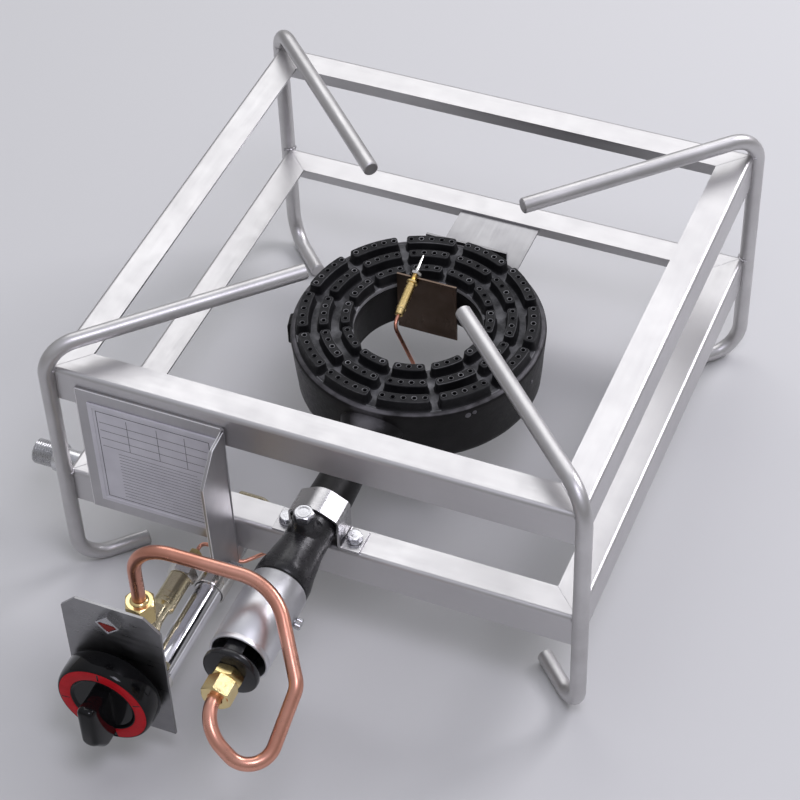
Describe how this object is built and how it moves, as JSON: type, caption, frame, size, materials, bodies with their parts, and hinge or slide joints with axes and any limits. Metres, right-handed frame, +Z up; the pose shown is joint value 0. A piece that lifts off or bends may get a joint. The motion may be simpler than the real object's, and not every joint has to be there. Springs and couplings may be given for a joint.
{
  "type": "stock pot range",
  "caption": "Low gas floor burner: square steel angle frame on bent bar legs that are also pot arms, cast ring burner, mixing tube, tap with knob and copper feed pipe.",
  "frame": {"origin": "middle of the whole object's outline on the floor", "axes": "+X to the right along the front, +Y to the back, +Z up; the knob faces -Y and the gas inlet points to -X"},
  "size_m": [0.4695, 0.6032, 0.235],
  "materials": {
    "angle_steel": "satin stainless, blasted",
    "bar_steel": "satin stainless bar",
    "sheet_steel": "satin stainless sheet",
    "strap_steel": "bright rolled strip",
    "tinted_steel": "heat-tinted sheet",
    "burner_iron": "black cast iron, matt",
    "head_iron": "black cast iron, matt, worn edges",
    "tube_iron": "black cast iron",
    "gloss_iron": "gloss black",
    "grey_iron": "galvanised iron fitting",
    "zinc_screws": "zinc plated",
    "plated_nickel": "nickel plated",
    "plated_tube": "chromium plated",
    "zinc_pipe": "galvanised",
    "sleeve_aluminium": "turned",
    "brass": "turned",
    "pale_brass": "cast, tumbled",
    "copper": "drawn copper pipe, satin",
    "copper_lead": "drawn copper lead",
    "spindle_steel": "ground",
    "spring_steel": "spring wire",
    "probe_steel": "bright probe",
    "valve_rubber": "nitrile",
    "knob_plastic": "gloss black phenolic",
    "knob_mark": "red",
    "label_face": "pale grey print, bare of words"
  },
  "bodies": {
    "root": {"upper_front_rail": "angle_steel", "upper_right_rail": "angle_steel", "upper_back_rail": "angle_steel", "upper_left_rail": "angle_steel", "lower_front_rail": "angle_steel", "lower_right_rail": "angle_steel", "lower_back_rail": "angle_steel", "lower_left_rail": "angle_steel", "leg_front_left": "bar_steel", "leg_front_right": "bar_steel", "leg_back_left": "bar_steel", "leg_back_right": "bar_steel", "burner_body": "burner_iron", "burner_head": "head_iron", "rear_bracket": "sheet_steel", "burner_stay_screws": "zinc_screws", "venturi": "tube_iron", "saddle_strap": "strap_steel", "saddle_screws": "zinc_screws", "boss_bolt": "zinc_screws", "injector_holder": "gloss_iron", "injector": "brass", "injector_fitting": "brass", "injector_nut": "brass", "feed_pipe": "copper", "outlet_nut": "brass", "tap_body": "pale_brass", "magnet_housing": "pale_brass", "valve_spring": "spring_steel", "magnet_unit": "plated_nickel", "magnet_nut": "plated_nickel", "lead_nut": "brass", "thermocouple_bracket": "tinted_steel", "bracket_screw": "zinc_screws", "thermocouple_body": "brass", "thermocouple_tip": "probe_steel", "thermocouple_nut": "brass", "thermocouple_lead": "copper_lead", "control_plate": "sheet_steel", "plate_bolt": "plated_nickel", "manifold_tube": "plated_tube", "tap_clamp": "plated_nickel", "clamp_screws": "zinc_screws", "manifold_socket": "pale_brass", "inlet_elbow": "grey_iron", "gas_inlet_pipe": "zinc_pipe", "link_pipe": "zinc_pipe", "label_bracket": "sheet_steel", "label_plate": "label_face", "wing_bolt": "zinc_screws"},
    "plug": {"tap_plug": "brass", "tap_spring": "spring_steel"},
    "knob_set": {"knob": "knob_plastic", "knob_ring": "knob_mark", "tap_spindle": "spindle_steel"},
    "valve": {"magnet_valve": "valve_rubber"},
    "sleeve": {"air_sleeve": "sleeve_aluminium", "air_sleeve_screw": "zinc_screws"}
  },
  "joints": [
    {"name": "tap_turn", "type": "hinge", "parent": "root", "child": "plug", "pos_m": [-0.06575, -0.20585, 0.067], "axis": [0, -1, 0], "range_deg": [0, 180]},
    {"name": "knob_push", "type": "slide", "parent": "plug", "child": "knob_set", "axis": [0, 1, 0], "range_m": [0, 0.004], "stiffness_N_per_m": 1500, "springref_m": -0.003, "deforming": ["tap_spring"]},
    {"name": "valve_slide", "type": "slide", "parent": "root", "child": "valve", "axis": [0, 1, 0], "range_m": [0, 0.004], "deforming": ["valve_spring"]},
    {"name": "sleeve_slide", "type": "slide", "parent": "root", "child": "sleeve", "axis": [0, 1, 0], "range_m": [-0.0075, 0.0015]}
  ],
  "couplings": [
    {"joint": "valve_slide", "follows": "knob_push", "ratio": 1}
  ]
}
